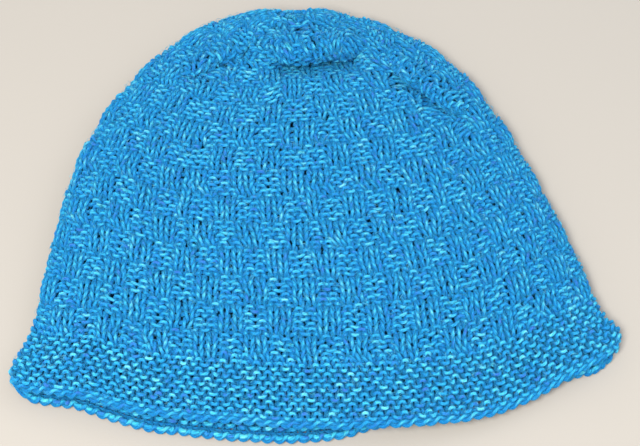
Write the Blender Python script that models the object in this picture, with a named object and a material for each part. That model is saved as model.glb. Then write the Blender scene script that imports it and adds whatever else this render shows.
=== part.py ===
"""A hand-knitted hat lying flat: garter-stitch brim, basket-knit body and a drawn-in crown.

Metres, +Z up. The hat lies on z = 0 with its mouth towards -Y and its tip towards +Y, and the
origin is on the underside, midway along it. The wall is worked out as a middle sheet, which
closed sections shape, and which slips, dents and creases then move. Each piece is that sheet
between two rounds, half a wall thick on either side.
"""

import math

import bpy
import numpy as np

BRIM_WIDTH = 0.2385  # between the side folds, at the cast-on edge
LENGTH = 0.200  # cast-on edge to the far fold, as the hat lies
LOFT = 0.0285  # height of the plain body as it lies
WALL = 0.0036  # thickness of the knitting
GARTER_DEPTH = 0.026  # cast-on edge to the top of the garter stitch
GARTER_RIDGES = 6
RIDGE_RELIEF = 0.0004
CROWN_DEPTH = 0.116  # tip to the first round of the crown
STITCH_WIDTH = 0.0045
ROUND_HEIGHT = 0.0033
BLOCK_STITCHES = 2  # a basket block is this many stitches wide
BLOCK_ROUNDS = 4  # and this many rounds tall
BLOCK_RELIEF = 0.0006
BLOCK_SQUARENESS = 1.4
PRESSED_HEIGHT = 0.003  # the relief is pressed flat where the wall lies lower than this
PIECE_GAP = 0.0003

AROUND = 96  # facets round the outside, twice those round the inside
FINE_AROUND = 192
FINE_STEPS = 481
SECTION_STEPS = 720
EVEN_SHARE = 0.5  # rounds are evenly spaced up to here, and share what is left beyond it
ARCH = 0.95  # how square the upper layer's arch is, from fold to fold
LAYER_SHARPNESS = 2.5  # how quickly one layer gives way to the other at a fold
CREASE_LEAN = 0.45  # how far the wave of a crease leans towards the mouth
BLUR_COUNTS = (41, 31)
CREASED_SHARE = 0.66  # above here the crown has finer facets, for its creases
CREASED_STEPS = 17
LAST_RING_SHARE = 0.985
CROWN_HALVINGS = (0.80, 0.93, 0.97)

# Sections of the middle sheet, from the cast-on edge (share 0) to the tip (share 1). Places
# across are shares of BRIM_WIDTH from the middle, places along are shares of LENGTH from the
# cast-on edge, and heights are shares of LOFT less the wall, above the underlayer. The front
# is the upper layer and the back is the one on the table. Bow is how fully a round bends
# towards the mouth, and flat is where the underlayer comes down on the table.
SECTION_COLUMNS = (
    "share left_x left_y right_x right_y front_y front_z back_y back_z fold_z bow flat"
).split()
SECTIONS = [
    (0.000, -0.500, 0.122, 0.486, 0.208, 0.014, 0.41, 0.007, 0.000, 0.22, 1.20, 0.38),
    (0.045, -0.506, 0.150, 0.497, 0.230, 0.069, 0.48, 0.062, 0.000, 0.22, 1.20, 0.38),
    (0.106, -0.479, 0.226, 0.467, 0.278, 0.133, 0.62, 0.130, 0.000, 0.24, 1.20, 0.38),
    (0.205, -0.465, 0.337, 0.437, 0.390, 0.242, 0.82, 0.245, 0.000, 0.25, 1.20, 0.38),
    (0.327, -0.447, 0.480, 0.392, 0.530, 0.380, 0.96, 0.390, 0.000, 0.25, 1.20, 0.40),
    (0.450, -0.422, 0.625, 0.344, 0.665, 0.520, 1.00, 0.540, 0.000, 0.25, 1.20, 0.42),
    (0.550, -0.385, 0.735, 0.296, 0.775, 0.630, 0.98, 0.665, 0.000, 0.25, 1.25, 0.46),
    (0.650, -0.330, 0.842, 0.238, 0.874, 0.735, 0.90, 0.790, 0.000, 0.26, 1.25, 0.52),
    (0.735, -0.273, 0.917, 0.176, 0.936, 0.820, 0.84, 0.885, 0.010, 0.27, 1.25, 0.60),
    (0.815, -0.212, 0.968, 0.108, 0.975, 0.880, 0.84, 0.965, 0.040, 0.30, 1.20, 0.70),
    (0.895, -0.138, 0.995, 0.033, 0.997, 0.925, 0.86, 1.000, 0.180, 0.42, 1.10, 0.85),
    (0.960, -0.083, 0.982, -0.020, 0.984, 0.940, 0.82, 0.992, 0.480, 0.62, 1.05, 1.00),
    (1.000, -0.050, 0.955, -0.050, 0.955, 0.955, 0.78, 0.955, 0.780, 0.78, 1.00, 1.00),
]

# Where one layer has slipped back from the mouth. X and reach are shares of BRIM_WIDTH, fade
# is the share of the way to the tip at which it ends, and shift is a share of LENGTH.
SLIP_COLUMNS = "upper x reach fade shift".split()
SLIPS = [
    (True, 0.45, 0.18, 0.30, 0.024),
    (False, 0.26, 0.31, 0.25, 0.060),
    (True, -0.42, 0.18, 0.25, 0.020),
    (False, -0.43, 0.16, 0.25, 0.018),
    (True, -0.15, 0.30, 0.20, 0.008),
]

# Hollows in the upper layer: middle and reach as shares of BRIM_WIDTH and LENGTH, and depth
# as a share of LOFT.
DENT_COLUMNS = "x y reach_x reach_y depth".split()
DENTS = [
    (0.330, 0.060, 0.24, 0.26, 0.14),
    (-0.020, 0.000, 0.16, 0.12, 0.05),
    (-0.050, 1.020, 0.06, 0.10, 0.12),
]

# Creases where the crown has folded over towards the mouth, each along a line whose ends are
# shares of BRIM_WIDTH and LENGTH. Reach, either side of the line, is a share of LENGTH, and
# overlap, by which the far side laps over the near one, is a share of the reach. Rise and
# sink are shares of LOFT, and ends is the share of the line over which the crease dies away.
CREASE_COLUMNS = "x0 y0 x1 y1 reach overlap rise sink ends".split()
CREASES = [
    (-0.095, 0.840, 0.080, 0.865, 0.070, 0.73, 0.27, 0.06, 0.34),
    (0.125, 0.845, 0.262, 0.710, 0.044, 0.22, 0.15, 0.06, 0.34),
    (0.215, 0.690, 0.262, 0.625, 0.030, 0.00, 0.06, 0.06, 0.45),
    (-0.245, 0.800, -0.125, 0.890, 0.034, 0.15, 0.10, 0.10, 0.34),
]


def named(rows, columns):
    """Each row of a table as a dictionary with the columns' names."""
    return [dict(zip(columns, row)) for row in rows]


def smooth(value):
    """0 below 0, 1 above 1 and an easy curve between."""
    value = np.clip(value, 0, 1)
    return value * value * (3 - 2 * value)


def along_lines(points):
    """Distance run down each column of points, from its first row."""
    steps = np.linalg.norm(np.diff(points, axis=0), axis=2)
    return np.concatenate([np.zeros((1, points.shape[1])), np.cumsum(steps, axis=0)])


def sections_at(shares):
    """The section table read at any shares through smooth curves, as named columns."""
    table = np.array(SECTIONS)
    at = table[:, 0]
    slope = np.gradient(table, at, axis=0)
    low = np.clip(np.searchsorted(at, shares, side="right") - 1, 0, len(at) - 2)
    span = (at[low + 1] - at[low])[:, None]
    t = (shares - at[low])[:, None] / span
    start = (2 * t**3 - 3 * t**2 + 1) * table[low] + (t**3 - 2 * t**2 + t) * span * slope[low]
    end = (3 * t**2 - 2 * t**3) * table[low + 1] + (t**3 - t**2) * span * slope[low + 1]
    return dict(zip(SECTION_COLUMNS, (start + end).T))


def section_ring(at, k):
    """Closed section k, from the right fold over the upper layer and back underneath."""
    angle = np.linspace(0, 2 * math.pi, SECTION_STEPS + 1)[:-1]
    across = np.cos(angle)
    lean = np.abs(np.sin(angle))
    upper = np.sin(angle) >= 0
    half = (at["right_x"][k] - at["left_x"][k]) / 2
    x = (at["right_x"][k] + at["left_x"][k]) / 2 + half * across
    fold_y = (at["right_y"][k] + at["left_y"][k]) / 2
    fold_y = fold_y + (at["right_y"][k] - at["left_y"][k]) / 2 * across
    middle_y = np.where(upper, at["front_y"][k], at["back_y"][k])
    y = fold_y + (middle_y - fold_y) * lean ** at["bow"][k] - 0.5
    arch = lean**ARCH
    sole = np.sin(math.pi / 2 * np.minimum(lean / at["flat"][k], 1))
    middle_z = np.where(upper, at["front_z"][k], max(at["back_z"][k], 0))
    z = at["fold_z"][k] + (middle_z - at["fold_z"][k]) * np.where(upper, arch, sole)
    ring = np.stack([x * BRIM_WIDTH, y * LENGTH, WALL / 2 + z * (LOFT - WALL)], axis=1)
    return evenly_round(ring)


def evenly_round(ring):
    """The closed ring's points moved so that they lie evenly along it."""
    closed = np.vstack([ring, ring[:1]])
    run = along_lines(closed[:, None])[:, 0]
    want = np.linspace(0, run[-1], FINE_AROUND + 1)[:-1]
    return np.stack([np.interp(want, run, closed[:, axis]) for axis in range(3)], axis=1)


def layer_shares():
    """How far each place round the hat belongs to the upper layer, and to the underlayer."""
    side = np.sin(2 * math.pi * np.arange(FINE_AROUND) / FINE_AROUND) * LAYER_SHARPNESS
    return smooth(side), smooth(-side)


def slipped(sheet, shares, slip):
    upper, under = layer_shares()
    near = 1 - smooth(np.abs(sheet[..., 0] / BRIM_WIDTH - slip["x"]) / slip["reach"])
    fade = (1 - smooth(shares / slip["fade"]))[:, None]
    layer = upper if slip["upper"] else smooth(under)
    sheet[..., 1] += slip["shift"] * LENGTH * near * fade * layer
    return sheet


def dented(sheet, dent):
    upper, _ = layer_shares()
    off_x = (sheet[..., 0] / BRIM_WIDTH - dent["x"]) / dent["reach_x"]
    off_y = (sheet[..., 1] / LENGTH + 0.5 - dent["y"]) / dent["reach_y"]
    sheet[..., 2] -= dent["depth"] * LOFT * upper * (1 - smooth(np.hypot(off_x, off_y)))
    return sheet


def creased(sheet, crease):
    """The sheet with a fold like a leaning wave along the crease's line."""
    upper, _ = layer_shares()
    start = np.array([crease["x0"] * BRIM_WIDTH, (crease["y0"] - 0.5) * LENGTH])
    end = np.array([crease["x1"] * BRIM_WIDTH, (crease["y1"] - 0.5) * LENGTH])
    run = np.linalg.norm(end - start)
    along = (end - start) / run
    away = np.array([-along[1], along[0]])
    offset = sheet[..., :2] - start
    place = offset @ along / run
    ends = crease["ends"]
    strength = smooth((place + ends / 4) / ends) * smooth((1 + ends / 4 - place) / ends) * upper
    reach = crease["reach"] * LENGTH
    turn = math.pi * np.clip(offset @ away / reach, -1, 1)
    lap = crease["overlap"] * reach * np.sin(turn) * strength
    wave = crease["rise"] * np.sin(turn - CREASE_LEAN * np.sin(turn))
    valley = crease["sink"] * (1 + np.cos(turn)) / 2
    sheet[..., :2] -= away * lap[..., None]
    sheet[..., 2] += (wave - valley) * strength * LOFT
    return sheet


def blurred(values, count):
    """A running mean over count neighbours round the hat."""
    ring = np.concatenate([values, values, values])
    return np.convolve(ring, np.ones(count) / count, "same")[len(values) : 2 * len(values)]


def knitted_rows(sheet):
    """The sheet with its rows moved to where the rounds of knitting lie."""
    run = along_lines(sheet)
    total = run[-1]
    usual = total
    for count in BLUR_COUNTS:
        usual = blurred(usual, count)
    shares = np.linspace(0, 1, FINE_STEPS)
    beyond = np.clip((shares - EVEN_SHARE) / (1 - EVEN_SHARE), 0, 1)
    rows = np.empty((FINE_STEPS, FINE_AROUND, 3))
    for j in range(FINE_AROUND):
        lead = usual[j] * (1 - EVEN_SHARE)
        extra = total[j] - usual[j]
        want = usual[j] * np.minimum(shares, EVEN_SHARE) + lead * beyond + extra * beyond**2
        for axis in range(3):
            rows[:, j, axis] = np.interp(want, run[:, j], sheet[:, j, axis])
    return rows


def middle_sheet():
    """The middle of the wall on a fine grid: rows up the hat, columns round it."""
    shares = np.linspace(0, 1, FINE_STEPS)
    at = sections_at(shares)
    sheet = np.stack([section_ring(at, k) for k in range(FINE_STEPS)])
    for slip in named(SLIPS, SLIP_COLUMNS):
        sheet = slipped(sheet, shares, slip)
    for dent in named(DENTS, DENT_COLUMNS):
        sheet = dented(sheet, dent)
    for crease in named(CREASES, CREASE_COLUMNS):
        sheet = creased(sheet, crease)
    return knitted_rows(sheet)


def outward_directions(sheet):
    """Unit directions out of the hat at every point of the sheet."""
    up = np.gradient(sheet, axis=0)
    round_it = np.roll(sheet, -1, axis=1) - np.roll(sheet, 1, axis=1)
    out = np.cross(up, round_it)
    out[-1] = out[-2].mean(axis=0)
    return out / np.linalg.norm(out, axis=2, keepdims=True)


class Wall:
    """The wall of the hat, from which the pieces take their rings of points."""

    def __init__(self):
        self.sheet = middle_sheet()
        self.out = outward_directions(self.sheet)
        self.knit_length = along_lines(self.sheet)[-1].mean()

    def ring(self, share, count, side, relief=0.0):
        """Count points round the wall, on its outside (side 1) or its inside (side -1)."""
        low = min(int(share * (FINE_STEPS - 1)), FINE_STEPS - 2)
        t = share * (FINE_STEPS - 1) - low
        step = FINE_AROUND // count
        middle = ((1 - t) * self.sheet[low] + t * self.sheet[low + 1])[::step]
        out = ((1 - t) * self.out[low] + t * self.out[low + 1])[::step]
        out = out / np.linalg.norm(out, axis=1, keepdims=True)
        lifted = smooth((middle[:, 2] - WALL / 2) / PRESSED_HEIGHT)
        return middle + out * (side * WALL / 2 + relief * lifted)[:, None]

    def tip(self, side):
        return self.sheet[-1].mean(axis=0) + self.out[-1, 0] * side * WALL / 2

    def girth(self, share):
        """Length of the round at this share of the way up."""
        ring = self.sheet[int(share * (FINE_STEPS - 1))]
        return along_lines(np.vstack([ring, ring[:1]])[:, None])[-1, 0]


def bridge(faces, lower, upper):
    """Triangles between two closed rings of vertex numbers, alike or one twice the other."""
    small = min(len(lower), len(upper))
    for i in range(small):
        following = (i + 1) % small
        if len(lower) == len(upper):
            faces.append((lower[i], lower[following], upper[following], upper[i]))
        elif len(lower) > len(upper):
            half_way = lower[2 * i + 1]
            end = lower[2 * following]
            faces.append((lower[2 * i], half_way, upper[i]))
            faces.append((half_way, end, upper[following]))
            faces.append((half_way, upper[following], upper[i]))
        else:
            half_way = upper[2 * i + 1]
            end = upper[2 * following]
            faces.append((lower[i], half_way, upper[2 * i]))
            faces.append((lower[following], end, half_way))
            faces.append((lower[i], lower[following], half_way))


def fan(faces, ring, tip):
    for i in range(len(ring)):
        faces.append((ring[i], ring[(i + 1) % len(ring)], tip))


def lofted_piece(name, outer, inner, material, collection, tips=()):
    """A closed wall whose outside and inside are bridged rings, and which meet at the rims."""
    points = []
    numbered = []
    for ring in outer + inner:
        numbered.append(list(range(len(points), len(points) + len(ring))))
        points.extend(ring)
    outside = numbered[: len(outer)]
    inside = numbered[len(outer) :]
    chain = inside[::-1] + outside if tips else [inside[0], *outside, *inside[::-1]]
    faces = []
    for lower, upper in zip(chain, chain[1:]):
        bridge(faces, lower, upper)
    for ring, tip in zip((outside[-1], inside[-1][::-1]), tips):
        fan(faces, ring, len(points))
        points.append(tip)
    mesh = bpy.data.meshes.new(name)
    mesh.from_pydata([tuple(point) for point in points], [], [face[::-1] for face in faces])
    mesh.materials.append(material)
    mesh.shade_smooth()
    piece = bpy.data.objects.new(name, mesh)
    triangulate = piece.modifiers.new("Triangulate", "TRIANGULATE")
    triangulate.quad_method = "SHORTEST_DIAGONAL"
    collection.objects.link(piece)
    return piece


def wool(name, colour):
    material = bpy.data.materials.new(name)
    material.use_nodes = True
    shader = material.node_tree.nodes["Principled BSDF"]
    shader.inputs["Base Color"].default_value = (*colour, 1)
    shader.inputs["Roughness"].default_value = 0.85
    shader.inputs["Metallic"].default_value = 0
    return material


def make_brim(wall, top, collection):
    """Garter stitch: ridges that run round the hat."""
    end = top - PIECE_GAP / 2 / wall.knit_length
    steps = 2 * GARTER_RIDGES
    outer = []
    for k in range(steps + 1):
        relief = RIDGE_RELIEF if k % 2 else -RIDGE_RELIEF
        outer.append(wall.ring(end * k / steps, AROUND, 1, relief))
    inner = [wall.ring(end * k / 3, AROUND // 2, -1) for k in range(4)]
    lofted_piece("brim_band", outer, inner, wool("brim wool", (0.010, 0.205, 0.420)), collection)


def block_relief(wall, share, band):
    """Basket blocks: the knit ones stand out and the purled ones lie back, turn about."""
    repeats = round(wall.girth(share) / (2 * BLOCK_STITCHES * STITCH_WIDTH))
    phase = (np.arange(AROUND) + 0.5) / AROUND * repeats + band / 2
    fade = 1 - smooth((share - EVEN_SHARE) / (CREASED_SHARE - EVEN_SHARE))
    return BLOCK_RELIEF * fade * np.clip(BLOCK_SQUARENESS * np.sin(2 * math.pi * phase), -1, 1)


def block_shares(wall, start, end):
    """Shares from start to end, about two to each band of blocks."""
    band_share = BLOCK_ROUNDS * ROUND_HEIGHT / wall.knit_length
    return np.linspace(start, end, 2 * max(2, round((end - start) / band_share)) + 1)


def make_body(wall, bottom, top, collection):
    gap_share = PIECE_GAP / wall.knit_length
    shares = block_shares(wall, bottom + gap_share / 2, top - gap_share / 2)
    last = len(shares) - 1
    outer = []
    for k, share in enumerate(shares):
        relief = block_relief(wall, share, k // 2) if 0 < k < last else np.zeros(AROUND)
        outer.append(wall.ring(share, AROUND, 1, relief))
    inner = [wall.ring(share, AROUND // 2, -1) for share in shares]
    lofted_piece("body", outer, inner, wool("body wool", (0.012, 0.230, 0.455)), collection)


def crown_count(share):
    """Facets round the crown at this share: fewer as it draws in."""
    halvings = sum(share > limit for limit in CROWN_HALVINGS)
    return AROUND // 2**halvings


def make_crown(wall, bottom, collection):
    """The crown draws in to a closed tip, with fewer facets round it as it does."""
    start = bottom + PIECE_GAP / 2 / wall.knit_length
    plain = block_shares(wall, start, CREASED_SHARE)[:-1]
    shares = np.concatenate([plain, np.linspace(CREASED_SHARE, LAST_RING_SHARE, CREASED_STEPS)])
    outer = []
    inner = []
    for k, share in enumerate(shares):
        count = crown_count(share)
        relief = np.zeros(count)
        if 0 < k < len(plain):
            relief = block_relief(wall, share, k // 2)
        outer.append(wall.ring(share, count, 1, relief))
        inner.append(wall.ring(share, count // 2, -1))
    tips = (wall.tip(1), wall.tip(-1))
    crown_wool = wool("crown wool", (0.010, 0.190, 0.400))
    lofted_piece("crown", outer, inner, crown_wool, collection, tips)


def main():
    for thing in list(bpy.data.objects):
        bpy.data.objects.remove(thing, do_unlink=True)
    collection = bpy.data.collections.new("knitted_hat")
    bpy.context.scene.collection.children.link(collection)
    wall = Wall()
    brim_top = GARTER_DEPTH / wall.knit_length
    crown_start = 1 - CROWN_DEPTH / wall.knit_length
    make_brim(wall, brim_top, collection)
    make_body(wall, brim_top, crown_start, collection)
    make_crown(wall, crown_start, collection)


main()
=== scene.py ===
"""A hand-knitted hat lying flat, knitted loop by loop from hand-dyed worsted wool.

The wall of the hat is worked out as a middle sheet, with the same values and functions as the
solid model, apart from its creases, which are sharper here. Each round of the knitting is one
closed strand of yarn whose loops are laid on that sheet, through the loops of the round below.
Metres, +Z up, with the mouth towards -Y.
"""

import math

import bpy
import numpy as np
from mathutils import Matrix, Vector


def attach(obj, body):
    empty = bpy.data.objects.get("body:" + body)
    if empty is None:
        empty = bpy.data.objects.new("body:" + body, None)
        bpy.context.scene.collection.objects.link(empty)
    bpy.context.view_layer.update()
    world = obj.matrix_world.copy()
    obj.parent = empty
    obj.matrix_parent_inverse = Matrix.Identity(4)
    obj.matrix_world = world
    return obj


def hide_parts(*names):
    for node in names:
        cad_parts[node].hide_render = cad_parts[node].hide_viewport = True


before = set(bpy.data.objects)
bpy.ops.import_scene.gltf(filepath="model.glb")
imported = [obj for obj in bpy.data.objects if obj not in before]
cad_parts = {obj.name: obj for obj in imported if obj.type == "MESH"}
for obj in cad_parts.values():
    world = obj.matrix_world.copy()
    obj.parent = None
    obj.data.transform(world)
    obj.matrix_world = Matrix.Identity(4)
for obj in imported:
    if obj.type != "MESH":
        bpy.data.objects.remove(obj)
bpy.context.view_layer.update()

# The hat's sizes, as in the solid model.
BRIM_WIDTH = 0.2385  # between the side folds, at the cast-on edge
LENGTH = 0.200  # cast-on edge to the far fold, as the hat lies
LOFT = 0.0285  # height of the plain body as it lies
WALL = 0.0036  # thickness of the knitting
GARTER_DEPTH = 0.026  # cast-on edge to the top of the garter stitch
BLOCK_STITCHES = 2  # a basket block is this many stitches wide
BLOCK_ROUNDS = 4  # and this many rounds tall
BLOCK_RELIEF = 0.0006  # how far a knit block stands out, and a purl one in

FINE_AROUND = 192  # columns of the middle sheet, round the hat
FINE_STEPS = 481  # rows of the middle sheet, from the cast-on edge to the tip
SECTION_STEPS = 720  # points round a section before they are spaced evenly
ORIGIN_SHARE = 0.5  # the origin's share of LENGTH from the cast-on edge
EVEN_SHARE = 0.5  # rounds are evenly spaced up to here, and share what is left beyond it
ARCH = 0.95  # how square the upper layer's arch is, from fold to fold
LAYER_SHARPNESS = 2.5  # how quickly one layer gives way to the other at a fold
CREASE_LEAN = 0.45  # how far the wave of a crease leans towards the mouth
BLUR_COUNTS = (41, 31)  # columns that the length up the hat is averaged over, one then the other

# Sections of the middle sheet, from the cast-on edge (share 0) to the tip (share 1). Places
# across are shares of BRIM_WIDTH from the middle, places along are shares of LENGTH from the
# cast-on edge, and heights are shares of LOFT less the wall, above the underlayer. The front
# is the upper layer and the back is the one on the table. Bow is how fully a round bends
# towards the mouth, and flat is where the underlayer comes down on the table.
SECTION_COLUMNS = (
    "share left_x left_y right_x right_y front_y front_z back_y back_z fold_z bow flat"
).split()
SECTIONS = [
    (0.000, -0.500, 0.122, 0.486, 0.208, 0.014, 0.41, 0.007, 0.000, 0.22, 1.20, 0.38),
    (0.045, -0.506, 0.150, 0.497, 0.230, 0.069, 0.48, 0.062, 0.000, 0.22, 1.20, 0.38),
    (0.106, -0.479, 0.226, 0.467, 0.278, 0.133, 0.62, 0.130, 0.000, 0.24, 1.20, 0.38),
    (0.205, -0.465, 0.337, 0.437, 0.390, 0.242, 0.82, 0.245, 0.000, 0.25, 1.20, 0.38),
    (0.327, -0.447, 0.480, 0.392, 0.530, 0.380, 0.96, 0.390, 0.000, 0.25, 1.20, 0.40),
    (0.450, -0.422, 0.625, 0.344, 0.665, 0.520, 1.00, 0.540, 0.000, 0.25, 1.20, 0.42),
    (0.550, -0.385, 0.735, 0.296, 0.775, 0.630, 0.98, 0.665, 0.000, 0.25, 1.25, 0.46),
    (0.650, -0.330, 0.842, 0.238, 0.874, 0.735, 0.90, 0.790, 0.000, 0.26, 1.25, 0.52),
    (0.735, -0.273, 0.917, 0.176, 0.936, 0.820, 0.84, 0.885, 0.010, 0.27, 1.25, 0.60),
    (0.815, -0.212, 0.968, 0.108, 0.975, 0.880, 0.84, 0.965, 0.040, 0.30, 1.20, 0.70),
    (0.895, -0.138, 0.995, 0.033, 0.997, 0.925, 0.86, 1.000, 0.180, 0.42, 1.10, 0.85),
    (0.960, -0.083, 0.982, -0.020, 0.984, 0.940, 0.82, 0.992, 0.480, 0.62, 1.05, 1.00),
    (1.000, -0.050, 0.955, -0.050, 0.955, 0.955, 0.78, 0.955, 0.780, 0.78, 1.00, 1.00),
]

# Where one layer has slipped back from the mouth. X and reach are shares of BRIM_WIDTH, fade
# is the share of the way to the tip at which it ends, and shift is a share of LENGTH.
SLIP_COLUMNS = "upper x reach fade shift".split()
SLIPS = [
    (True, 0.45, 0.18, 0.30, 0.024),
    (False, 0.26, 0.31, 0.25, 0.060),
    (True, -0.42, 0.18, 0.25, 0.020),
    (False, -0.43, 0.16, 0.25, 0.018),
    (True, -0.15, 0.30, 0.20, 0.008),
]

# Hollows in the upper layer: middle and reach as shares of BRIM_WIDTH and LENGTH, and depth
# as a share of LOFT.
DENT_COLUMNS = "x y reach_x reach_y depth".split()
DENTS = [
    (0.330, 0.060, 0.24, 0.26, 0.14),
    (-0.020, 0.000, 0.16, 0.12, 0.05),
    (-0.050, 1.020, 0.06, 0.10, 0.12),
]

# Creases where the crown has folded over towards the mouth, each along a line whose ends are
# shares of BRIM_WIDTH and LENGTH. Reach, either side of the line, is a share of LENGTH, and
# overlap, by which the far side laps over the near one, is a share of the reach. Rise and
# sink are shares of LOFT, and ends is the share of the line over which the crease dies away.
CREASE_COLUMNS = "x0 y0 x1 y1 reach overlap rise sink ends".split()
CREASES = [
    (-0.095, 0.840, 0.080, 0.865, 0.070, 0.73, 0.27, 0.06, 0.34),
    (0.115, 0.852, 0.272, 0.695, 0.048, 0.68, 0.17, 0.04, 0.42),
    (0.215, 0.690, 0.262, 0.625, 0.030, 0.00, 0.03, 0.06, 0.45),
    (-0.250, 0.796, -0.115, 0.893, 0.038, 0.55, 0.10, 0.04, 0.42),
]

# The knitting, from the cast-on edge up: the piece that the rounds belong to, how many there
# are, how many stitches each has, and in how many places two stitches below were knitted
# together to come down to that number.
ROUND_COLUMNS = "piece rounds stitches joined".split()
GARTER_ROUNDS = 12
ROUNDS = [
    ("garter_brim", GARTER_ROUNDS, 108, 1),
    ("lower_body", 13, 96, 12),
    ("upper_body", 3, 96, 1),
    ("upper_body", 8, 88, 8),
    ("upper_body", 3, 80, 8),
    ("lower_crown", 5, 80, 1),
    ("lower_crown", 8, 72, 8),
    ("lower_crown", 4, 64, 8),
    ("upper_crown", 4, 56, 8),
    ("upper_crown", 4, 48, 8),
    ("upper_crown", 2, 40, 8),
    ("upper_crown", 2, 32, 8),
    ("upper_crown", 2, 24, 8),
    ("upper_crown", 2, 16, 8),
    ("upper_crown", 2, 8, 8),
]
WEDGES = 8  # parts round the hat, each with its blocks counted from its own edge

# What each piece of knitting stands for: the solid model's node and its finish.
PIECES = {
    "garter_brim": ("brim_band", "brim_wool"),
    "lower_body": ("body", "body_wool"),
    "upper_body": ("body", "body_wool"),
    "lower_crown": ("crown", "crown_wool"),
    "upper_crown": ("crown", "crown_wool"),
}

YARN = 0.0018  # thickness of the yarn
SWELL = 0.15  # how much thicker it is at the back, and how much thinner at the front
PLIES = 3
PLY_RUN = 0.0027  # from one ply to the next, along the yarn
DYE_RUN = 0.024  # about how much yarn takes one colour of the dye
LOOP_POINTS = 12  # points along one stitch, from between two stitches to the next such place
CLOSER_POINTS = 0.45  # how much closer together they are round its head and its feet
EDGE_ROOM = 0.0022  # from the cast-on edge to the first round
CLOSED_SHARE = 0.996  # how far up the last loops reach
ROUND_MIDDLE = 0.5  # where the middle of a round lies, in rounds from its start
UNEVEN_ACROSS = 0.090  # how unevenly the heads of the loops lie round the hat, in stitches
UNEVEN_UP = 0.110  # and up it, in rounds
SEED = 7

# The shape of a loop. Swing is how far it swings in at its feet and out at its head. Reach is
# how many rounds its head and feet lie above and below its middle. Crossing is how far a strand
# lies in front of the middle of the wall, or behind it, and head is the share of half a turn
# for which it stays there round its head and its feet.
LOOP_COLUMNS = "swing reach crossing head".split()
PLAIN_LOOP = dict(zip(LOOP_COLUMNS, (0.215, 0.90, 0.00090, 0.10)))
GARTER_LOOP = dict(zip(LOOP_COLUMNS, (0.135, 1.15, 0.00135, 0.20)))

# The cast-on edge, in rounds. Its middle is this far up less the reach of a garter loop, its two
# strands swing up and down by the twist, and each stitch draws it up between two bumps. Slack is
# how many times more uneven it is than the loops.
EDGE_MIDDLE = 0.55
EDGE_TWIST = 0.42
EDGE_DRAW = 0.30
EDGE_SLACK = 1.5
TAIL_POINTS = 3  # points a stitch along the tail of the cast-on

FIBRES = 2.0  # stray fibres to a stitch
FIBRE = 0.00014  # thickness of a stray fibre
FIBRE_LENGTH = 0.0042  # of the longest
FIBRE_SHORTEST = 0.5  # as a share of the longest
FIBRE_HEIGHTS = (0.8, 1.3)  # lowest and highest, in thicknesses of the yarn
FIBRE_BEND = 0.35  # radians that a fibre turns, more or less, from its middle to an end

# Places along a stray fibre, from its middle to either end, and each one's share of its height.
FIBRE_PLACES = [(-1.0, 0.45), (-0.35, 0.95), (0.35, 1.0), (1.0, 0.7)]
ODD_DIRECTION = (0.31, 0.17, 0.94)  # one that no fibre is likely to lie along

# The dye of the wool. A shade is the slow change along the yarn and its quick flecks, each by its
# share, less the drop that centres it on the colours.
FLECK_RUN = 0.006  # about how much yarn takes one fleck
PLY_STEP = 7.3  # flecks from those of one ply to those of the next
SLOW_SHARE = 0.90
FLECK_SHARE = 0.50
SHADE_DROP = 0.17
DYE_COLOURS = [
    (0.30, "#3A6AC0"),
    (0.42, "#248AC8"),
    (0.52, "#2CA6D4"),
    (0.61, "#46C0E0"),
    (0.70, "#5ED0EA"),
    (0.82, "#78DEF0"),
]

# Painted shade in the furrows between the plies: they are darker by the wave of the twist, times a
# share, with an offset that keeps them narrow.
FURROW_SHADE_COLOUR = "#1066A4"
FURROW_SHADE_SHARE = 0.5
FURROW_SHADE_OFFSET = -0.15
FURROW_DEPTH = 0.00025

# Painted shade on the wool deep in the wall, between the strands. It is deepest where the yarn's
# surface lies less than the first share of the way out from the wall's middle, and gone at the
# second.
PAINTED_DEEP_SHADE_COLOUR = "#0A6EAE"
PAINTED_DEEP_SHADE_SHARES = (0.50, 1.0)
PAINTED_DEEP_SHADE_MOST = 0.90

CAMERA_LENS = 101.25  # millimetres, on a sensor 36 mm wide
CAMERA_AIM = (0, 0.001, 0)
CAMERA_ELEVATION = 60  # degrees
CAMERA_DISTANCE = 0.75


def named(rows, columns):
    """Each row of a table as a dictionary with the columns' names."""
    return [dict(zip(columns, row)) for row in rows]


def smooth(value):
    """0 below 0, 1 above 1 and an easy curve between."""
    value = np.clip(value, 0, 1)
    return value * value * (3 - 2 * value)


def along_lines(points):
    """Distance run down each column of points, from its first row."""
    steps = np.linalg.norm(np.diff(points, axis=0), axis=2)
    return np.concatenate([np.zeros((1, points.shape[1])), np.cumsum(steps, axis=0)])


def sections_at(shares):
    """The section table read at any shares through smooth curves, as named columns."""
    table = np.array(SECTIONS)
    at = table[:, 0]
    slope = np.gradient(table, at, axis=0)
    low = np.clip(np.searchsorted(at, shares, side="right") - 1, 0, len(at) - 2)
    span = (at[low + 1] - at[low])[:, None]
    t = (shares - at[low])[:, None] / span
    start = (2 * t**3 - 3 * t**2 + 1) * table[low] + (t**3 - 2 * t**2 + t) * span * slope[low]
    end = (3 * t**2 - 2 * t**3) * table[low + 1] + (t**3 - t**2) * span * slope[low + 1]
    return dict(zip(SECTION_COLUMNS, (start + end).T))


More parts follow.
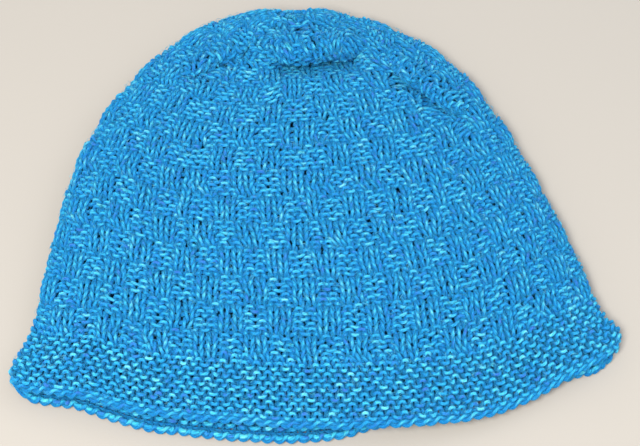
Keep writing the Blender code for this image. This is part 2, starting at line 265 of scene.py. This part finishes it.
def section_ring(at, k):
    """Closed section k, from the right fold over the upper layer and back underneath."""
    angle = np.linspace(0, 2 * math.pi, SECTION_STEPS + 1)[:-1]
    across = np.cos(angle)
    lean = np.abs(np.sin(angle))
    upper = np.sin(angle) >= 0
    half = (at["right_x"][k] - at["left_x"][k]) / 2
    x = (at["right_x"][k] + at["left_x"][k]) / 2 + half * across
    fold_y = (at["right_y"][k] + at["left_y"][k]) / 2
    fold_y = fold_y + (at["right_y"][k] - at["left_y"][k]) / 2 * across
    middle_y = np.where(upper, at["front_y"][k], at["back_y"][k])
    y = fold_y + (middle_y - fold_y) * lean ** at["bow"][k] - ORIGIN_SHARE
    arch = lean**ARCH
    sole = np.sin(math.pi / 2 * np.minimum(lean / at["flat"][k], 1))
    middle_z = np.where(upper, at["front_z"][k], max(at["back_z"][k], 0))
    z = at["fold_z"][k] + (middle_z - at["fold_z"][k]) * np.where(upper, arch, sole)
    ring = np.stack([x * BRIM_WIDTH, y * LENGTH, WALL / 2 + z * (LOFT - WALL)], axis=1)
    return evenly_round(ring)


def evenly_round(ring):
    """The closed ring's points moved so that they lie evenly along it."""
    closed = np.vstack([ring, ring[:1]])
    run = along_lines(closed[:, None])[:, 0]
    want = np.linspace(0, run[-1], FINE_AROUND + 1)[:-1]
    return np.stack([np.interp(want, run, closed[:, axis]) for axis in range(3)], axis=1)


def layer_shares():
    """How far each place round the hat belongs to the upper layer, and to the underlayer."""
    side = np.sin(2 * math.pi * np.arange(FINE_AROUND) / FINE_AROUND) * LAYER_SHARPNESS
    return smooth(side), smooth(-side)


def slipped(sheet, shares, slip):
    """The sheet with one layer slid back from the mouth about one place across."""
    upper, under = layer_shares()
    near = 1 - smooth(np.abs(sheet[..., 0] / BRIM_WIDTH - slip["x"]) / slip["reach"])
    fade = (1 - smooth(shares / slip["fade"]))[:, None]
    layer = upper if slip["upper"] else smooth(under)
    sheet[..., 1] += slip["shift"] * LENGTH * near * fade * layer
    return sheet


def dented(sheet, dent):
    """The sheet with a round hollow in the upper layer."""
    upper, _ = layer_shares()
    off_x = (sheet[..., 0] / BRIM_WIDTH - dent["x"]) / dent["reach_x"]
    off_y = (sheet[..., 1] / LENGTH + ORIGIN_SHARE - dent["y"]) / dent["reach_y"]
    sheet[..., 2] -= dent["depth"] * LOFT * upper * (1 - smooth(np.hypot(off_x, off_y)))
    return sheet


def creased(sheet, crease):
    """The sheet with a fold like a leaning wave along the crease's line."""
    upper, _ = layer_shares()
    start = np.array([crease["x0"] * BRIM_WIDTH, (crease["y0"] - ORIGIN_SHARE) * LENGTH])
    end = np.array([crease["x1"] * BRIM_WIDTH, (crease["y1"] - ORIGIN_SHARE) * LENGTH])
    run = np.linalg.norm(end - start)
    along = (end - start) / run
    away = np.array([-along[1], along[0]])
    offset = sheet[..., :2] - start
    place = offset @ along / run
    ends = crease["ends"]
    strength = smooth((place + ends / 4) / ends) * smooth((1 + ends / 4 - place) / ends) * upper
    reach = crease["reach"] * LENGTH
    turn = math.pi * np.clip(offset @ away / reach, -1, 1)
    lap = crease["overlap"] * reach * np.sin(turn) * strength
    wave = crease["rise"] * np.sin(turn - CREASE_LEAN * np.sin(turn))
    valley = crease["sink"] * (1 + np.cos(turn)) / 2
    sheet[..., :2] -= away * lap[..., None]
    sheet[..., 2] += (wave - valley) * strength * LOFT
    return sheet


def blurred(values, count):
    """A running mean over count neighbours round the hat."""
    ring = np.concatenate([values, values, values])
    return np.convolve(ring, np.ones(count) / count, "same")[len(values) : 2 * len(values)]


def knitted_rows(sheet):
    """The sheet with its rows moved to where the rounds of knitting lie."""
    run = along_lines(sheet)
    total = run[-1]
    usual = total
    for count in BLUR_COUNTS:
        usual = blurred(usual, count)
    shares = np.linspace(0, 1, FINE_STEPS)
    beyond = np.clip((shares - EVEN_SHARE) / (1 - EVEN_SHARE), 0, 1)
    rows = np.empty((FINE_STEPS, FINE_AROUND, 3))
    for j in range(FINE_AROUND):
        lead = usual[j] * (1 - EVEN_SHARE)
        extra = total[j] - usual[j]
        want = usual[j] * np.minimum(shares, EVEN_SHARE) + lead * beyond + extra * beyond**2
        for axis in range(3):
            rows[:, j, axis] = np.interp(want, run[:, j], sheet[:, j, axis])
    return rows


def middle_sheet():
    """The middle of the wall on a fine grid: rows up the hat, columns round it."""
    shares = np.linspace(0, 1, FINE_STEPS)
    at = sections_at(shares)
    sheet = np.stack([section_ring(at, k) for k in range(FINE_STEPS)])
    for slip in named(SLIPS, SLIP_COLUMNS):
        sheet = slipped(sheet, shares, slip)
    for dent in named(DENTS, DENT_COLUMNS):
        sheet = dented(sheet, dent)
    for crease in named(CREASES, CREASE_COLUMNS):
        sheet = creased(sheet, crease)
    return knitted_rows(sheet)


def outward_directions(sheet):
    """Unit directions out of the hat at every point of the sheet."""
    up = np.gradient(sheet, axis=0)
    round_it = np.roll(sheet, -1, axis=1) - np.roll(sheet, 1, axis=1)
    out = np.cross(up, round_it)
    out[-1] = out[-2].mean(axis=0)
    return out / np.linalg.norm(out, axis=2, keepdims=True)


class Wall:
    """The wall of the hat, on which the yarn is laid."""

    def __init__(self):
        self.sheet = middle_sheet()
        self.out = outward_directions(self.sheet)
        self.knit_length = along_lines(self.sheet)[-1].mean()

    def mixed(self, grid, up, across):
        """The grid read between its points, at shares up the hat and round it."""
        rows = np.clip(up, 0, 1) * (FINE_STEPS - 1)
        low = np.minimum(rows.astype(int), FINE_STEPS - 2)
        t = (rows - low)[:, None]
        columns = (across % 1) * FINE_AROUND
        left = columns.astype(int) % FINE_AROUND
        right = (left + 1) % FINE_AROUND
        s = (columns - np.floor(columns))[:, None]
        lower = (1 - s) * grid[low, left] + s * grid[low, right]
        upper = (1 - s) * grid[low + 1, left] + s * grid[low + 1, right]
        return (1 - t) * lower + t * upper

    def strand(self, up, across, height, relief=0.0):
        """Points along the yarn, kept on the table where the wall rests on it.

        With them go the directions out of the hat, and the heights above the wall's middle
        before it has any relief.
        """
        out = self.mixed(self.out, up, across)
        out /= np.linalg.norm(out, axis=1, keepdims=True)
        points = self.mixed(self.sheet, up, across) + out * (height + relief)[:, None]
        points[:, 2] = rested(points[:, 2], YARN / 2)
        return {"points": points, "out": out, "height": height}

    def row_at(self, rounds):
        """The sheet's points round the hat at a count of rounds above the cast-on edge."""
        return self.sheet[int(self.share_at(rounds) * (FINE_STEPS - 1))]

    def share_at(self, rounds):
        """The share of the way up the hat at a count of rounds above the cast-on edge."""
        garter = (GARTER_DEPTH - EDGE_ROOM) / GARTER_ROUNDS
        total = sum(row["rounds"] for row in named(ROUNDS, ROUND_COLUMNS))
        plain_rounds = total - GARTER_ROUNDS - ROUND_MIDDLE + PLAIN_LOOP["reach"]
        plain = (CLOSED_SHARE * self.knit_length - GARTER_DEPTH) / plain_rounds
        in_garter = EDGE_ROOM + rounds * garter
        above = GARTER_DEPTH + (rounds - GARTER_ROUNDS) * plain
        return np.where(rounds < GARTER_ROUNDS, in_garter, above) / self.knit_length


def rested(height, floor):
    """Heights eased up so that none is under the floor."""
    soft = floor / 2
    near = np.clip(height - floor + soft, 0, 2 * soft)
    return np.where(height > floor + soft, height, floor + near**2 / (4 * soft))


def knit_or_purl(number, stitches):
    """The stitch pattern of a round: 1 for a knit stitch and -1 for a purl one."""
    if number < GARTER_ROUNDS:
        return np.full(stitches, 1 if number % 2 == 0 else -1)
    wedge = stitches // WEDGES
    block = (np.arange(stitches) % wedge) // BLOCK_STITCHES
    band = (number - GARTER_ROUNDS) // BLOCK_ROUNDS
    return np.where((block + band) % 2 == 0, 1, -1)


def knitted_through(stitches, below, joined):
    """For each stitch, the first and the last stitch below that it is knitted through."""
    index = np.arange(stitches)
    if stitches == below:
        return index, index
    wedge = stitches // joined
    first = index + index // wedge
    return first, first + (index % wedge == wedge - 1)


def every_round():
    """The rounds as a list of dictionaries, each with its stitches' kind and what they meet."""
    rounds = []
    for row in named(ROUNDS, ROUND_COLUMNS):
        for _ in range(row["rounds"]):
            stitches = row["stitches"]
            below = rounds[-1]["stitches"] if rounds else stitches
            round_ = {"piece": row["piece"], "stitches": stitches}
            round_["kind"] = knit_or_purl(len(rounds), stitches)
            round_["first"], round_["last"] = knitted_through(stitches, below, row["joined"])
            rounds.append(round_)
    for under, over in zip(rounds, rounds[1:]):
        above = np.empty(under["stitches"])
        above[over["first"]] = over["kind"]
        above[over["last"]] = over["kind"]
        under["above"] = above
    rounds[-1]["above"] = rounds[-1]["kind"]
    return rounds


def loosened(rounds, chance):
    """Gives each round's heads the unevenness of hand knitting, and its blocks their relief."""
    for number, round_ in enumerate(rounds):
        stitches = round_["stitches"]
        uneven = chance.normal(0, UNEVEN_ACROSS, stitches)
        round_["across"] = (np.arange(stitches) + 0.5 + uneven) / stitches
        round_["lift"] = chance.normal(0, UNEVEN_UP, stitches)
        kind = round_["kind"]
        raised = (np.roll(kind, 1) + 2 * kind + np.roll(kind, -1)) / 4
        round_["relief"] = raised * BLOCK_RELIEF * (0 if number < GARTER_ROUNDS else 1)


def loop_keys(angle, head):
    """Weights of feet, lower legs, upper legs and head at the angle along the loop."""
    place = (np.abs(angle) / math.pi - head) / ((1 - 2 * head) / 3)
    upper = smooth(place)
    lower = smooth(place - 1)
    feet = smooth(place - 2)
    return feet, lower - feet, upper - lower, 1 - upper


def joined_ends(values, turns=0.0):
    """Each stitch's values from end to end, with the end points it shares made one."""
    before = np.roll(values[:, -1], 1)
    before[0] -= turns
    points = values[:, :-1].copy()
    points[:, 0] = (points[:, 0] + before) / 2
    return points.ravel()


def round_of_yarn(wall, rounds, number):
    """The strand of one round, stitch after stitch."""
    this = rounds[number]
    under = rounds[max(number - 1, 0)]
    loop = GARTER_LOOP if number < GARTER_ROUNDS else PLAIN_LOOP
    even = np.linspace(-math.pi, math.pi, LOOP_POINTS + 1)[None, :]
    angle = even - CLOSER_POINTS * np.sin(2 * even) / 2
    head = (1 + np.cos(angle)) / 2
    first, last = this["first"], this["last"]
    foot_across = (under["across"][first] + under["across"][last]) / 2
    foot_width = (last - first + 1) / under["stitches"]
    centre = foot_across[:, None] * (1 - head) + this["across"][:, None] * head
    width = foot_width[:, None] * (1 - head) + head / this["stitches"]
    swing = angle / (2 * math.pi) + loop["swing"] * np.sin(2 * angle)
    across = joined_ends(centre + width * swing, 1.0)
    foot_lift = (under["lift"][first] + under["lift"][last]) / 2
    lift = foot_lift[:, None] * (1 - head) + this["lift"][:, None] * head
    rounds_up = joined_ends(number + ROUND_MIDDLE + loop["reach"] * np.cos(angle) + lift)
    feet, lower, upper, top = loop_keys(angle, loop["head"])
    kind = this["kind"][:, None]
    above = this["above"][:, None]
    weave = -kind * feet + kind * lower + above * upper - above * top
    foot_relief = (under["relief"][first] + under["relief"][last]) / 2
    relief = foot_relief[:, None] * (1 - head) + this["relief"][:, None] * head
    height = joined_ends(loop["crossing"] * weave)
    return wall.strand(wall.share_at(rounds_up), across, height, joined_ends(relief))


def cast_on_strand(wall, rounds, turned):
    """One of the two strands that twist together along the cast-on edge, half a turn a stitch."""
    stitches = rounds[0]["stitches"]
    count = stitches * LOOP_POINTS
    angle = math.pi * np.arange(count) / LOOP_POINTS + turned
    across = np.arange(count) / count
    stitch = across * stitches
    slack = np.interp(stitch, np.arange(stitches) + 0.5, rounds[0]["lift"])
    draw = EDGE_DRAW * (1 - np.cos(2 * math.pi * stitch)) / 2
    middle = EDGE_MIDDLE - GARTER_LOOP["reach"]
    up = wall.share_at(middle + EDGE_TWIST * np.cos(angle) + draw + EDGE_SLACK * slack)
    return wall.strand(up, across, YARN / 2 * np.sin(angle))


def tail_strand(wall, rounds):
    """The tail of the cast-on, carried straight along inside the first round."""
    count = TAIL_POINTS * rounds[0]["stitches"]
    up = np.full(count, wall.share_at(ROUND_MIDDLE))
    return wall.strand(up, np.arange(count) / count, np.zeros(count))


def laid_fibres(wall, rounds, number, chance):
    """Four points along each stray fibre of one round, over the face of the knitting."""
    count = round(FIBRES * rounds[number]["stitches"])
    middle = chance.uniform(0, 1, count)
    turn = chance.uniform(0, 2 * math.pi, count)
    reach = chance.uniform(FIBRE_SHORTEST, 1.0, count) * FIBRE_LENGTH / 2
    girth = np.linalg.norm(np.diff(wall.row_at(number), axis=0), axis=1).sum()
    up = wall.share_at(number + chance.uniform(0, 1, count))
    height = chance.uniform(*FIBRE_HEIGHTS, count) * YARN
    bend = chance.normal(0, FIBRE_BEND, count)
    points = []
    for place, rise in FIBRE_PLACES:
        towards = turn + bend * place
        across = middle + np.cos(towards) * place * reach / girth
        along = up + np.sin(towards) * place * reach / wall.knit_length
        points.append(wall.strand(along, across, height * rise)["points"])
    return np.stack(points, axis=1), middle


def fibre_mesh(points):
    """Closed three-sided fibres through four points each, pointed at both ends."""
    count = len(points)
    ahead = points[:, 2] - points[:, 1]
    ahead /= np.linalg.norm(ahead, axis=1, keepdims=True)
    side = np.cross(ahead, ODD_DIRECTION)
    side /= np.linalg.norm(side, axis=1, keepdims=True)
    over = np.cross(side, ahead)
    corners = np.empty((count, 8, 3))
    corners[:, 0] = points[:, 0]
    corners[:, 7] = points[:, 3]
    for corner in range(3):
        angle = 2 * math.pi * corner / 3
        spoke = FIBRE / 2 * (np.cos(angle) * side + np.sin(angle) * over)
        corners[:, 1 + corner] = points[:, 1] + spoke
        corners[:, 4 + corner] = points[:, 2] + spoke
    faces = []
    for corner in range(3):
        after = (corner + 1) % 3
        faces.append((0, 1 + corner, 1 + after))
        faces.append((1 + corner, 4 + corner, 4 + after))
        faces.append((1 + corner, 4 + after, 1 + after))
        faces.append((7, 4 + after, 4 + corner))
    faces = (np.arange(count)[:, None, None] * 8 + np.array(faces)).reshape(-1, 3)
    return corners.reshape(-1, 3), faces


def fibre_piece(name, points, lengths, material):
    """Stray fibres as one mesh, each with the colour of the yarn that it comes from."""
    corners, faces = fibre_mesh(points)
    mesh = bpy.data.meshes.new(name)
    mesh.from_pydata(corners.tolist(), [], faces.tolist())
    uv = np.zeros((len(faces) * 3, 2), np.float32)
    uv[:, 0] = np.repeat(lengths, len(faces) * 3 // len(lengths))
    mesh.uv_layers.new(name="UVMap").data.foreach_set("uv", uv.ravel())
    # Taken as lying fully out of the wall, so that no painted shade darkens the stray fibres.
    mesh.attributes.new("raised", "FLOAT", "POINT").data.foreach_set("value", np.ones(len(corners)))
    mesh.materials.append(material)
    mesh.shade_smooth()
    piece = bpy.data.objects.new(name, mesh)
    bpy.context.scene.collection.objects.link(piece)
    return piece


def yarn_piece(name, strands, started, material):
    """Closed strands of yarn as one mesh, with the yarn's length and its turn as its UV map."""
    curve = bpy.data.curves.new(name, "CURVE")
    curve.dimensions = "3D"
    curve.bevel_depth = YARN / 2
    curve.bevel_resolution = 1  # six sides round the strand
    for strand in strands:
        points = strand["points"]
        spline = curve.splines.new("POLY")
        spline.points.add(len(points) - 1)
        spline.points.foreach_set("co", np.column_stack([points, np.ones(len(points))]).ravel())
        share = strand["height"] / max(np.abs(strand["height"]).max(), YARN / 2)
        spline.points.foreach_set("radius", 1 - SWELL * share)
        spline.use_cyclic_u = True
    piece = bpy.data.objects.new(name, curve)
    bpy.context.scene.collection.objects.link(piece)
    deselect_all()
    piece.select_set(True)
    bpy.context.view_layer.objects.active = piece
    bpy.ops.object.convert(target="MESH")
    piece = bpy.context.object
    mesh = piece.data
    measure_yarn(mesh, [strand["points"] for strand in strands], started)
    measure_height(mesh, strands)
    mesh.materials.clear()
    mesh.materials.append(material)
    mesh.shade_smooth()
    return piece


def deselect_all():
    """Leaves nothing selected, so that an operator acts on the new piece alone."""
    for thing in bpy.context.selected_objects:
        thing.select_set(False)


def measure_yarn(mesh, strands, started):
    """Turns the map's first value from a share of the strand into metres along the yarn."""
    sides = len(mesh.vertices) // sum(len(strand) for strand in strands)
    corners = len(mesh.loops)
    vertex = np.empty(corners, np.int32)
    mesh.loops.foreach_get("vertex_index", vertex)
    uv = np.empty(corners * 2, np.float32)
    mesh.uv_layers[0].data.foreach_get("uv", uv)
    uv = uv.reshape(-1, 2)
    begins = 0
    for strand in strands:
        run = along_lines(np.vstack([strand, strand[:1]])[:, None])[:, 0]
        mine = (vertex >= begins * sides) & (vertex < (begins + len(strand)) * sides)
        step = np.rint(uv[mine, 0] * len(strand)).astype(int)
        uv[mine, 0] = started + run[step]
        started += run[-1]
        begins += len(strand)
    mesh.uv_layers[0].data.foreach_set("uv", uv.ravel())


def measure_height(mesh, strands):
    """How far from the wall's middle the yarn's surface lies, as a share of the most it can be."""
    points = np.concatenate([strand["points"] for strand in strands])
    out = np.concatenate([strand["out"] for strand in strands])
    height = np.concatenate([strand["height"] for strand in strands])
    corners = np.empty(len(mesh.vertices) * 3)
    mesh.vertices.foreach_get("co", corners)
    offset = corners.reshape(len(points), -1, 3) - points[:, None]
    height = np.abs(height[:, None] + np.einsum("nsk,nk->ns", offset, out))
    # This share is also the mask for the painted shade deep in the wall, in the wool's material.
    raised = np.clip(height / height.max(), 0, 1)
    mesh.attributes.new("raised", "FLOAT", "POINT").data.foreach_set("value", raised.ravel())


def linear(hex_colour):
    """An sRGB hex colour as the linear values that nodes take."""
    parts = [int(hex_colour[i : i + 2], 16) / 255 for i in (1, 3, 5)]
    return [c / 12.92 if c <= 0.04045 else ((c + 0.055) / 1.055) ** 2.4 for c in parts] + [1.0]


def node(tree, kind, settings=None, stops=(), **inputs):
    """Adds a node, with its settings, a ramp's stops, and what its inputs hold or come from."""
    made = tree.nodes.new(kind)
    for name, value in (settings or {}).items():
        setattr(made, name, value)
    for number, (place, colour) in enumerate(stops):
        elements = made.color_ramp.elements
        element = elements[number] if number < 2 else elements.new(place)
        element.position = place
        element.color = linear(colour)
    for name, value in inputs.items():
        key = int(name[1:]) if name[0] == "_" else name.replace("_", " ")
        if isinstance(value, bpy.types.NodeSocket):
            tree.links.new(value, made.inputs[key])
        else:
            made.inputs[key].default_value = value
    return made


MULTIPLY = {"operation": "MULTIPLY"}
MULTIPLY_ADD = {"operation": "MULTIPLY_ADD"}
ALONG_A_LINE = {"noise_dimensions": "1D"}


def twisted_plies(tree):
    """The length along the yarn, and how many plies its twist has brought past by there."""
    uv = node(tree, "ShaderNodeUVMap").outputs[0]
    parts = node(tree, "ShaderNodeSeparateXYZ", Vector=uv)
    length = parts.outputs["X"]
    turn = node(tree, "ShaderNodeMath", MULTIPLY, _0=parts.outputs["Y"], _1=PLIES).outputs[0]
    twist = node(tree, "ShaderNodeMath", MULTIPLY_ADD, _0=length, _1=1 / PLY_RUN, _2=turn)
    return length, twist.outputs[0]


def dyed_plies(tree, length, twist):
    """The dye's colour, which changes slowly along the yarn and in quick flecks on each ply."""
    whole = node(tree, "ShaderNodeMath", {"operation": "FLOOR"}, _0=twist).outputs[0]
    ply = node(tree, "ShaderNodeMath", {"operation": "MODULO"}, _0=whole, _1=PLIES).outputs[0]
    own = node(tree, "ShaderNodeMath", MULTIPLY, _0=ply, _1=PLY_STEP).outputs[0]
    dyed = node(tree, "ShaderNodeMath", MULTIPLY, _0=length, _1=1 / DYE_RUN).outputs[0]
    slow = node(tree, "ShaderNodeTexNoise", ALONG_A_LINE, W=dyed, Scale=1.0, Detail=2.0,
                Roughness=0.6).outputs[0]
    quick = node(tree, "ShaderNodeMath", MULTIPLY_ADD, _0=length, _1=1 / FLECK_RUN, _2=own)
    fleck = node(tree, "ShaderNodeTexNoise", ALONG_A_LINE, W=quick.outputs[0], Scale=1.0,
                 Detail=2.0, Roughness=0.6).outputs[0]
    flecked = node(tree, "ShaderNodeMath", MULTIPLY, _0=fleck, _1=FLECK_SHARE).outputs[0]
    both = node(tree, "ShaderNodeMath", MULTIPLY_ADD, _0=slow, _1=SLOW_SHARE, _2=flecked)
    shade = node(tree, "ShaderNodeMath", {"operation": "SUBTRACT"}, _0=both.outputs[0],
                 _1=SHADE_DROP)
    dye = node(tree, "ShaderNodeValToRGB", Fac=shade.outputs[0], stops=DYE_COLOURS)
    return dye.outputs["Color"]


def with_painted_furrow_shade(tree, colour, wave):
    """The colour with painted shade in the furrows between the plies."""
    furrow = node(tree, "ShaderNodeMath", {"operation": "MULTIPLY_ADD", "use_clamp": True},
                  _0=wave, _1=FURROW_SHADE_SHARE, _2=FURROW_SHADE_OFFSET)
    mixed = node(tree, "ShaderNodeMix", {"data_type": "RGBA"}, _0=furrow.outputs[0], _6=colour,
                 _7=linear(FURROW_SHADE_COLOUR))
    return mixed.outputs[2]


def painted_deep_shade(tree, colour):
    """The colour darkened by painted shade where the yarn's surface lies deep in the wall."""
    raised = node(tree, "ShaderNodeAttribute", {"attribute_name": "raised"})
    full, gone = PAINTED_DEEP_SHADE_SHARES
    sunken = node(tree, "ShaderNodeMapRange", {"interpolation_type": "SMOOTHSTEP"},
                  _0=raised.outputs["Fac"], _1=full, _2=gone, _3=PAINTED_DEEP_SHADE_MOST, _4=0.0)
    mixed = node(tree, "ShaderNodeMix", {"data_type": "RGBA"}, _0=sunken.outputs[0], _6=colour,
                 _7=linear(PAINTED_DEEP_SHADE_COLOUR))
    return mixed.outputs[2]


def soft_wool(shader):
    """Light goes a little way into the strand, and its fibres give it a soft bloom."""
    shader.inputs["Roughness"].default_value = 0.8
    shader.inputs["Specular IOR Level"].default_value = 0.15
    shader.inputs["Subsurface Weight"].default_value = 0.6
    shader.inputs["Subsurface Radius"].default_value = (0.4, 0.8, 1.0)
    shader.inputs["Subsurface Scale"].default_value = 0.0025
    shader.inputs["Sheen Weight"].default_value = 0.4
    shader.inputs["Sheen Roughness"].default_value = 0.45
    shader.inputs["Sheen Tint"].default_value = linear("#4CB4E8")


def hand_dyed_wool():
    """Worsted wool of three plies, dyed by hand in short lengths of blue and turquoise.

    The fibres' soft depth and bloom show as light that goes through the strand and as sheen, the
    twist shows as slanting furrows, bumped and darkened by painted shade, and each ply has taken
    the dye a little differently. Where the yarn's surface lies deep in the wall, between the
    strands, painted shade makes it darker.
    """
    material = bpy.data.materials.new("hand-dyed worsted wool")
    material.use_nodes = True
    tree = material.node_tree
    shader = tree.nodes["Principled BSDF"]
    soft_wool(shader)
    length, twist = twisted_plies(tree)
    turned = node(tree, "ShaderNodeMath", MULTIPLY, _0=twist, _1=2 * math.pi).outputs[0]
    wave = node(tree, "ShaderNodeMath", {"operation": "COSINE"}, _0=turned).outputs[0]
    # The dye gets painted shade in the furrows between the plies and deep in the wall.
    colour = painted_deep_shade(tree, with_painted_furrow_shade(tree, dyed_plies(tree, length, twist), wave))
    tree.links.new(colour, shader.inputs["Base Color"])
    bump = node(tree, "ShaderNodeBump", {"invert": True}, Height=wave, Strength=0.6,
                Distance=FURROW_DEPTH)
    tree.links.new(bump.outputs[0], shader.inputs["Normal"])
    return material


def plain_floor():
    """A plain pale tabletop, matt, which gives the soft shadow something to fall on."""
    material = bpy.data.materials.new("matt pale board")
    material.use_nodes = True
    tree = material.node_tree
    shader = tree.nodes["Principled BSDF"]
    shader.inputs["Roughness"].default_value = 0.6
    shader.inputs["Base Color"].default_value = linear("#A8A49E")
    deselect_all()
    bpy.ops.mesh.primitive_plane_add(size=4.0, location=(0, 0, 0))
    floor = bpy.context.object
    floor.name = "floor"
    floor.data.materials.append(material)


def camera_at_the_photo():
    """Looks down on the mouth of the hat from in front."""
    data = bpy.data.cameras.new("camera")
    data.lens = CAMERA_LENS
    data.sensor_width = 36.0
    camera = bpy.data.objects.new("camera", data)
    bpy.context.scene.collection.objects.link(camera)
    elevation = math.radians(CAMERA_ELEVATION)
    back = Vector((0, -math.cos(elevation), math.sin(elevation)))
    camera.location = Vector(CAMERA_AIM) + back * CAMERA_DISTANCE
    camera.rotation_euler = (-back).to_track_quat("-Z", "Y").to_euler()
    bpy.context.scene.camera = camera


def area_light(name, place, size, watts, colour):
    """A square light that shines on the origin."""
    data = bpy.data.lights.new(name, "AREA")
    data.size = size
    data.energy = watts
    data.color = linear(colour)[:3]
    light = bpy.data.objects.new(name, data)
    bpy.context.scene.collection.objects.link(light)
    light.location = place
    light.rotation_euler = (-Vector(place)).to_track_quat("-Z", "Y").to_euler()


def studio_light():
    """A warm key near the camera, a cool fill from the right and a little behind, a pale sky."""
    area_light("key", place=(-0.22, -0.55, 1.00), size=0.4, watts=19, colour="#FFF8EE")
    area_light("fill", place=(0.8, 0.3, 0.8), size=0.8, watts=3, colour="#EAF3FF")
    world = bpy.data.worlds.new("studio")
    bpy.context.scene.world = world
    world.use_nodes = True
    background = world.node_tree.nodes["Background"]
    background.inputs["Color"].default_value = linear("#F2F4F7")
    background.inputs["Strength"].default_value = 0.8
    bpy.context.scene.view_settings.view_transform = "Standard"


def strand_length(strand):
    """The length of a closed strand, in metres."""
    points = strand["points"]
    return np.linalg.norm(np.roll(points, -1, axis=0) - points, axis=1).sum()


def stand_in(piece, cad_node):
    """Makes a piece ride on the hat's one body in place of the solid model's node."""
    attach(piece, "root")
    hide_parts(cad_node)


def fibres_of(wall, rounds, cad_node, chance, starts, lengths):
    """The stray fibres over one node, and the length along the yarn that each one comes from."""
    laid = []
    come_from = []
    for number, row in enumerate(rounds):
        if PIECES[row["piece"]][0] == cad_node:
            points, middle = laid_fibres(wall, rounds, number, chance)
            laid.append(points)
            come_from.append(starts[number] + middle * lengths[number])
    return np.concatenate(laid), np.concatenate(come_from)


def knit_the_hat():
    """Knits the rounds, then twists the cast-on edge and lays the stray fibres."""
    wall = Wall()
    rounds = every_round()
    chance = np.random.default_rng(SEED)
    loosened(rounds, chance)
    strands = [round_of_yarn(wall, rounds, number) for number in range(len(rounds))]
    lengths = [strand_length(strand) for strand in strands]
    starts = np.concatenate([[0], np.cumsum(lengths)])
    wool = hand_dyed_wool()
    for name, (cad_node, finish) in PIECES.items():
        mine = [number for number, row in enumerate(rounds) if row["piece"] == name]
        piece = yarn_piece(name, [strands[number] for number in mine], starts[mine[0]], wool)
        stand_in(piece, cad_node)
    edge = [cast_on_strand(wall, rounds, turned) for turned in (0, math.pi)]
    edge.append(tail_strand(wall, rounds))
    stand_in(yarn_piece("cast_on_edge", edge, starts[-1], wool), "brim_band")
    for cad_node, finish in sorted(set(PIECES.values())):
        points, come_from = fibres_of(wall, rounds, cad_node, chance, starts, lengths)
        stand_in(fibre_piece(cad_node + "_fibres", points, come_from, wool), cad_node)


camera_at_the_photo()
studio_light()
plain_floor()
knit_the_hat()
